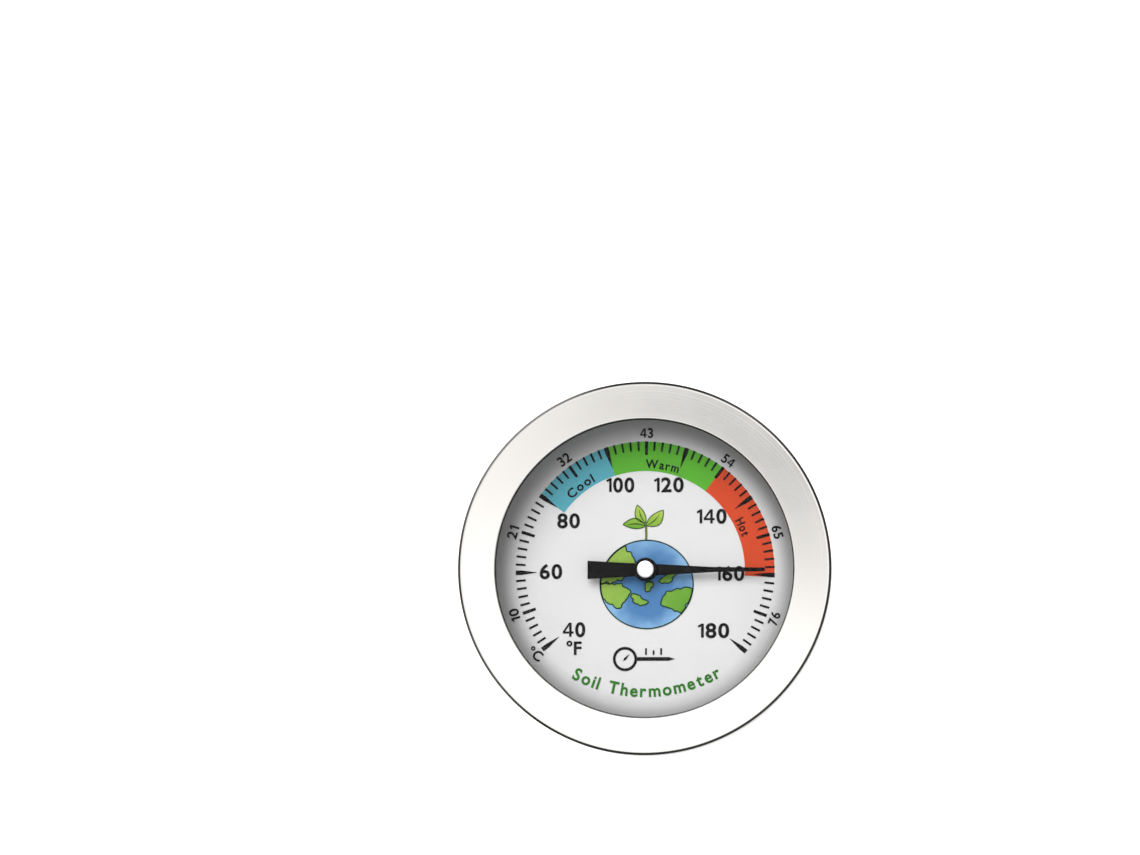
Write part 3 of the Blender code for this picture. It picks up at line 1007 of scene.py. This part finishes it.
def make_bezel():
    """Face that falls away a little outwards, rounded over to the band and curled under."""
    low, high, radius = BEZEL_LOW.z, BEZEL_HIGH.z, BEZEL_HIGH.x
    under = high - 0.65 * MM
    band_bore = radius - 0.6 * MM
    curl_radius = radius - 3.3 * MM
    curl = 0.6 * MM
    rim = radius - 0.66 * MM
    bead = radius - 0.40 * MM
    edge = radius - 0.01 * MM
    face_drop = (rim - WINDOW_RADIUS) * math.tan(FACE_SLOPE)
    bead_drop = face_drop + (bead - rim) * math.tan(BEAD_SLOPE)
    edge_drop = bead_drop + (edge - bead) * math.tan(EDGE_SLOPE)
    corners = [
        (WINDOW_RADIUS, under, 0.0),
        (WINDOW_RADIUS, high, 0.16 * MM),
        (rim, high - face_drop, 0.0),
        (bead, high - bead_drop, 0.0),
        (edge, high - edge_drop, 0.0),
        (radius, high - edge_drop - LEAN_HEIGHT, 0.0),
        (radius, low, 0.28 * MM),
        (curl_radius, low, 0.25 * MM),
        (curl_radius, low + curl, 0.25 * MM),
        (band_bore, low + curl, 0.1 * MM),
        (band_bore, under, 0.3 * MM),
    ]
    bm = lathe(guarded(filleted(corners, 8)))
    stand_in("bezel_ring", "bezel", bm, "bezel", "head", 50.0)


def make_case():
    """Pressed shell: a cone round the stem, a flat back, a side that narrows a little under the
    bezel, and a flange inside it."""
    low, high = CASE_LOW.z, CASE_HIGH.z
    sheet = 0.6 * MM
    bore = STEM_RADIUS + 0.08 * MM
    cone_foot = 7.0 * MM
    cone_top = 13.5 * MM
    lining = 0.2 * MM  # the inside of the cone lies this much nearer to the axis
    back = low + 2.5 * MM
    radius = 26.8 * MM
    narrowed = radius - 0.13 * MM
    flange = high - 0.5 * MM
    neck = BEZEL_LOW.z
    corners = [
        (bore, low, 0.1 * MM),
        (cone_foot, low, 1.0 * MM),
        (cone_top, back, 1.5 * MM),
        (radius, back, 0.9 * MM),
        (radius, neck - 0.85 * MM, 0.0),
        (narrowed, neck + 0.05 * MM, 0.0),
        (narrowed, flange, 0.15 * MM),
        (CASE_HIGH.x, flange, 0.1 * MM),
        (CASE_HIGH.x, high, 0.1 * MM),
        (radius - sheet, high, 0.4 * MM),
        (radius - sheet, back + sheet, 0.3 * MM),
        (cone_top - lining, back + sheet, 1.0 * MM),
        (cone_foot - lining, low + sheet, 1.0 * MM),
        (bore, low + sheet, 0.1 * MM),
    ]
    bm = lathe(guarded(filleted(corners, 6)))
    stand_in("case_back", "case_shell", bm, "case", "head", 50.0)


def make_dial():
    """Flat sheet with a hole in its middle and a rim that curves up."""
    steps = 24
    top = [(DIAL_HOLE_RADIUS, DIAL_PLANE)]
    for i in range(steps + 1):
        radius = DISH_INNER_RADIUS + (DISH_OUTER_RADIUS - DISH_INNER_RADIUS) * i / steps
        top.append((radius, dial_height(radius)))
    top.append((DIAL_HIGH.x, DIAL_HIGH.z))
    under = [(radius, height - DIAL_SHEET) for radius, height in reversed(top)]
    bm = lathe(top + under)
    stand_in("dial_face", "dial_plate", bm, "enamel", "head", 50.0)


def make_lens():
    """Flat pane that casts no shadow on the dial, so that the print stays evenly lit."""
    low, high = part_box("lens")
    radius = high.x
    chamfer = 0.15 * MM
    outline = [
        (0.0, low.z),
        (radius - chamfer, low.z),
        (radius, low.z + chamfer),
        (radius, high.z - chamfer),
        (radius - chamfer, high.z),
        (0.0, high.z),
    ]
    pane = stand_in("window_pane", "lens", lathe(outline), "glass", "head", 30.0)
    pane.visible_shadow = False
    pane.visible_diffuse = False


# Each ring inside the head: name, CAD node, inner radius and material
HEAD_RINGS = (
    ("window_gasket", "lens_gasket", WINDOW_RADIUS - 0.15 * MM, "rubber"),
    ("window_spacer", "spacer_ring", 25.6 * MM, "aluminium"),
)


def make_head():
    make_bezel()
    make_case()
    make_dial()
    make_lens()
    for name, cad_node, inner, finish in HEAD_RINGS:
        bm = box_ring(cad_node, inner, (0.1, 0.1, 0.1, 0.1), 4)
        stand_in(name, cad_node, bm, finish, "head", 50.0)


# ---- pointer


def make_pointer():
    """Flat needle with slightly rounded edges, its tail wider than its blade. Its outline is
    given as half widths, in millimetres, from the tip to the tail."""
    low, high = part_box("pointer")
    half_outline = [
        (high.x, 0.24),
        (high.x - 0.08 * MM, 0.30),
        (11.0 * MM, 0.42),
        (1.0 * MM, 0.97),
        (-1.0 * MM, 1.02),
        (low.x + 0.08 * MM, 1.50),
        (low.x, 1.44),
    ]
    outline = [(x, y * MM) for x, y in half_outline]
    outline += [(x, -y) for x, y in reversed(outline)]
    edge = 0.04 * MM
    levels = [(low.z, 0.0), (high.z - edge, 0.0), (high.z, edge)]
    sections = []
    for height, inset in levels:
        inner = [(x - math.copysign(inset, x), y - math.copysign(inset, y)) for x, y in outline]
        sections.append([(x, y, height) for x, y in inner])
    bm = bmesh.new()
    skin(bm, sections, False)
    stand_in("pointer_needle", "pointer", bm, "pointer", "pointer_assembly", 30.0)


def make_collar():
    """Black collar that holds the needle on its shaft."""
    bm = box_ring("pointer_hub", 0.45 * MM, (0.0, 0.05, 0.22, 0.05), 5, SMALL_SEGMENTS)
    stand_in("pointer_collar", "pointer_hub", bm, "pointer", "pointer_assembly")


def make_button():
    """Bright domed cap on the end of the shaft."""
    low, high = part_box("pointer_cap")
    dome = 0.2 * MM
    outline = [(0.0, low.z), (high.x, low.z)] + arc(high.x, dome, high.z - dome, 0.0, 90.0, 10)
    bm = lathe(outline, SMALL_SEGMENTS)
    stand_in("pointer_button", "pointer_cap", bm, "aluminium", "pointer_assembly")


# ---- stem


def make_stem():
    """Tube, open at both ends."""
    bore = STEM_RADIUS - STEM_WALL
    bm = box_ring("stem_tube", bore, (0.0, 0.0, 0.1, 0.1), 5, SMALL_SEGMENTS)
    stand_in("stem", "stem_tube", bm, "stem", "probe")


def make_stem_point():
    """Plug with a rounded nose, a cone, and a spigot that goes up into the tube."""
    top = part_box("tip_plug")[1].z
    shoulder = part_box("stem_tube")[0].z - 0.1 * MM
    nose = 0.75 * MM
    spigot = 2.42 * MM
    outline = arc(nose, nose, nose, -90.0, -20.0, 8) + [
        (STEM_RADIUS - 0.06 * MM, shoulder - 0.14 * MM),
        (STEM_RADIUS, shoulder - 0.04 * MM),
        (STEM_RADIUS, shoulder),
        (spigot, shoulder),
        (spigot, top),
        (0.0, top),
    ]
    bm = lathe(outline, SMALL_SEGMENTS)
    stand_in("stem_point", "tip_plug", bm, "stem", "probe", 25.0)


def make_nut():
    """Thin hexagon nut, one flat to the front, with turned-down corners and softened edges."""
    low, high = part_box("calibration_nut")
    flat_radius = high.y
    corner_radius = flat_radius * 1.145
    face_radius = flat_radius - 0.1 * MM
    bore = STEM_RADIUS + 0.05 * MM
    bevel = 0.15 * MM
    turned_slope = math.tan(math.radians(30))
    side = math.tau / 6
    count = 144
    sections = []
    for i in range(count):
        angle = math.tau * i / count
        from_flat = angle % side - side / 2
        radius = min(flat_radius / math.cos(from_flat), corner_radius)
        drop = (radius - face_radius) * turned_slope
        section = [
            (bore, low.z + bevel),
            (bore + bevel, low.z),
            (face_radius, low.z),
            (radius, low.z + drop),
            (radius, high.z - drop),
            (face_radius, high.z),
            (bore + bevel, high.z),
            (bore, high.z - bevel),
        ]
        sections.append([around(r, angle, height) for r, height in section])
    bm = bmesh.new()
    skin(bm, sections)
    stand_in("hex_nut", "calibration_nut", bm, "nut", "probe", 20.0)


def make_neck_seal():
    """Rubber ring of round section."""
    low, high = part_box("neck_seal")
    section = (high.z - low.z) / 2
    centre = Vector((high.x - section, low.z + section))
    bm = lathe(circle_points(centre, section, 16), SMALL_SEGMENTS)
    stand_in("neck_o_ring", "neck_seal", bm, "rubber", "probe")


def make_coil():
    """The bimetal strip as a smooth helix."""
    low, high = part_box("bimetal_coil")
    turns = 18
    per_turn = 40
    strip = 1.5 * MM
    thickness = 0.25 * MM
    outer = high.x
    inner = outer - thickness
    climb = (high.z - low.z - strip) / (turns * per_turn)
    sections = []
    for i in range(turns * per_turn + 1):
        angle = math.tau * i / per_turn
        foot = low.z + climb * i
        corners = [(inner, foot), (outer, foot), (outer, foot + strip), (inner, foot + strip)]
        sections.append([around(radius, angle, height) for radius, height in corners])
    bm = bmesh.new()
    skin(bm, sections, False)
    stand_in("coil_strip", "bimetal_coil", bm, "bimetal", "probe")


KEPT_NODES = {
    "coil_anchor": "brass",
    **{f"shaft_guide_{number}": "nylon" for number in range(1, 5)},
    "top_bearing": "brass",
    "stem_bushing": "stem",
    "wave_washer": "spring",
    "coil_collar": "brass",
    "pointer_shaft": "spring",
}


def finish_kept_nodes():
    """Inner CAD pieces keep their meshes and get a material."""
    for name, finish in KEPT_NODES.items():
        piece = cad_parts[name]
        piece.data.materials.clear()
        piece.data.materials.append(MATERIALS[finish])


# ---- stage, light, camera

FLOOR_RADIUS = 40.0
FLOOR_GAP = 0.2 * MM
FLOOR_GLOW = 0.45


def make_floor():
    """Plain pale floor under the point of the stem. From below it lets the view through."""
    bm = bmesh.new()
    bmesh.ops.create_circle(bm, cap_ends=True, segments=96, radius=FLOOR_RADIUS)
    material, tree, shader = new_material("floor_white")
    grain = noise(tree, object_place(tree), 3.0, 2.0)
    colour_surface(tree, shader, grain, grey(0.90), grey(0.92))
    shader.inputs["Roughness"].default_value = 0.9
    shader.inputs["Specular IOR Level"].default_value = 0.0
    shader.inputs["Emission Color"].default_value = (*grey(1.0), 1.0)
    shader.inputs["Emission Strength"].default_value = FLOOR_GLOW
    side = tree.nodes.new("ShaderNodeNewGeometry")
    sheet = tree.nodes.new("ShaderNodeMixShader")
    feed(tree, sheet.inputs[0], side.outputs["Backfacing"])
    feed(tree, sheet.inputs[1], shader.outputs[0])
    feed(tree, sheet.inputs[2], node(tree, "BsdfTransparent"))
    tree.links.new(sheet.outputs[0], tree.nodes["Material Output"].inputs["Surface"])
    floor = mesh_object("floor", bm, material)
    floor.location = (0.0, 0.0, CAD_BOUNDS[0].z - FLOOR_GAP)
    floor.visible_glossy = False


def ramp(tree, value, stops):
    """Grey levels along a value from 0 to 1. Each stop is (place, level)."""
    made = tree.nodes.new("ShaderNodeValToRGB")
    feed(tree, made.inputs[0], value)
    elements = made.color_ramp.elements
    while len(elements) > 1:
        elements.remove(elements[-1])
    first_place, first_level = stops[0]
    elements[0].position = first_place
    elements[0].color = (*grey(first_level), 1.0)
    for place, level in stops[1:]:
        elements.new(place).color = (*grey(level), 1.0)
    return made.outputs[0]


LEVEL_SCALE = 2.0  # a ramp holds levels up to one, so they are stored halved
DIFFUSE_LEVEL = 0.66
KEY_TOWARD = Vector((-0.20, 0.56, 0.80))
KEY_STRENGTH = 2.3
KEY_SPREAD = 42.0

# What the metal sees at eye level: turn from -Y in degrees, plus towards +X, and level
EYE_LEVEL = (
    (-180, 0.05), (-166, 0.06), (-154, 0.80), (-125, 0.74), (-97, 0.18), (-86, 0.26), (-70, 1.12),
    (-50, 1.12), (-33, 0.22), (-18, 0.03), (15, 0.03), (38, 0.45), (52, 0.84), (78, 0.66),
    (94, 0.16), (112, 0.50), (150, 0.80), (166, 0.06), (180, 0.05),
)

# What it sees by height, where the level is the same all round: sine of elevation, and level
BY_HEIGHT = (
    (-1.0, 0.90), (-0.80, 0.80), (0.19, 0.01), (0.35, 0.01), (0.44, 0.28), (0.80, 0.65),
    (0.90, 1.25), (0.95, 1.26), (0.975, 1.48), (1.0, 1.48),
)

# Sines of elevation between which eye level fades in and out, and the overhead panel fades in
EYE_LEVEL_IN = (-0.80, -0.70)
EYE_LEVEL_OUT = (0.11, 0.18)
OVERHEAD_IN = (0.955, 0.98)
OVERHEAD_SLOPE = (-1.44, -5.2, 0.0)  # how the overhead panel brightens along each axis
OVERHEAD_FLOOR = 0.3  # its lowest level


def studio(tree):
    """What the metal sees: a graded panel overhead, and at eye level a dark gap in front, a
    bright panel on each side of it, and pale walls behind with a dark slit between them."""
    way = node(tree, "TexCoord", output="Generated")
    x, y, z = separate(tree, way)
    behind = calc(tree, "MULTIPLY", y, -1.0)
    turn = calc(tree, "DIVIDE", calc(tree, "ARCTAN2", x, behind), math.pi)
    round_stops = [((degrees + 180) / 360, level / LEVEL_SCALE) for degrees, level in EYE_LEVEL]
    eye_level = ramp(tree, spread(tree, turn, 0.0, 1.0, -1.0, 1.0), round_stops)
    height_stops = [((sine + 1) / 2, level / LEVEL_SCALE) for sine, level in BY_HEIGHT]
    by_height = ramp(tree, spread(tree, z, 0.0, 1.0, -1.0, 1.0), height_stops)
    fade_in = spread(tree, z, 0.0, 1.0, *EYE_LEVEL_IN)
    fade_out = spread(tree, z, 1.0, 0.0, *EYE_LEVEL_OUT)
    mixed = blend_colours(tree, calc(tree, "MULTIPLY", fade_in, fade_out), by_height, eye_level)
    scaled = vector_calc(tree, "MULTIPLY", mixed, grey(LEVEL_SCALE))
    overhead = spread(tree, z, 0.0, 1.0, *OVERHEAD_IN)
    slope = vector_calc(tree, "DOT_PRODUCT", way, OVERHEAD_SLOPE, "Value")
    graded = vector_calc(tree, "ADD", scaled, calc(tree, "MULTIPLY", slope, overhead))
    panel = vector_calc(tree, "MAXIMUM", graded, grey(OVERHEAD_FLOOR))
    return blend_colours(tree, overhead, scaled, panel)


def make_world():
    """The studio for the metal, an even light for dull surfaces, and white for the camera."""
    world = bpy.data.worlds.new("studio")
    bpy.context.scene.world = world
    world.use_nodes = True
    world.cycles.sampling_method = "NONE"
    tree = world.node_tree
    path = tree.nodes.new("ShaderNodeLightPath")
    lit = blend_colours(tree, path.outputs["Is Glossy Ray"], grey(DIFFUSE_LEVEL), studio(tree))
    final = blend_colours(tree, path.outputs["Is Camera Ray"], lit, grey(1.0))
    tree.links.new(final, tree.nodes["Background"].inputs["Color"])


def make_key_light():
    """Broad sun from above, behind the top of the dial, that the metal doesn't mirror."""
    lamp = bpy.data.lights.new("key_light", "SUN")
    lamp.energy = KEY_STRENGTH
    lamp.angle = math.radians(KEY_SPREAD)
    holder = link_object("key_light", lamp)
    holder.rotation_mode = "QUATERNION"
    holder.rotation_quaternion = KEY_TOWARD.to_track_quat("Z", "Y")
    holder.location = KEY_TOWARD
    holder.visible_glossy = False


def make_camera():
    """Looks down on the dial, a little off its axis towards the lower right."""
    data = bpy.data.cameras.new("camera")
    data.lens = LENS_LENGTH
    data.sensor_width = SENSOR_WIDTH
    distance = VIEW_WIDTH * LENS_LENGTH / SENSOR_WIDTH
    data.clip_start = 0.05
    data.clip_end = 100.0
    camera = link_object("camera", data)
    toward = Vector((math.tan(VIEW_TILT_RIGHT), -math.tan(VIEW_TILT_DOWN), 1.0)).normalized()
    right = Vector((0.0, 1.0, 0.0)).cross(toward).normalized()
    up = toward.cross(right)
    square_on = Matrix((right, up, toward)).transposed().to_quaternion()
    dial_in_view = Vector((DIAL_RIGHT_OF_CENTRE, -DIAL_BELOW_CENTRE, -distance))
    aside = dial_in_view.rotation_difference(Vector((0.0, 0.0, -1.0)))
    camera.location = Vector((0.0, 0.0, BEZEL_HIGH.z)) + toward * distance
    camera.rotation_mode = "QUATERNION"
    camera.rotation_quaternion = square_on @ aside
    bpy.context.scene.camera = camera


def main():
    make_head()
    for zone in ZONES:
        make_zone(*zone)
    make_ticks()
    make_fahrenheit_numerals()
    make_celsius_numerals()
    make_unit_marks()
    make_zone_words()
    make_title()
    make_globe()
    make_sprout()
    make_pictogram()
    make_pointer()
    make_collar()
    make_button()
    make_stem()
    make_stem_point()
    make_nut()
    make_neck_seal()
    make_coil()
    finish_kept_nodes()
    make_floor()
    make_world()
    make_key_light()
    make_camera()
    bpy.context.scene.view_settings.view_transform = "Standard"


main()
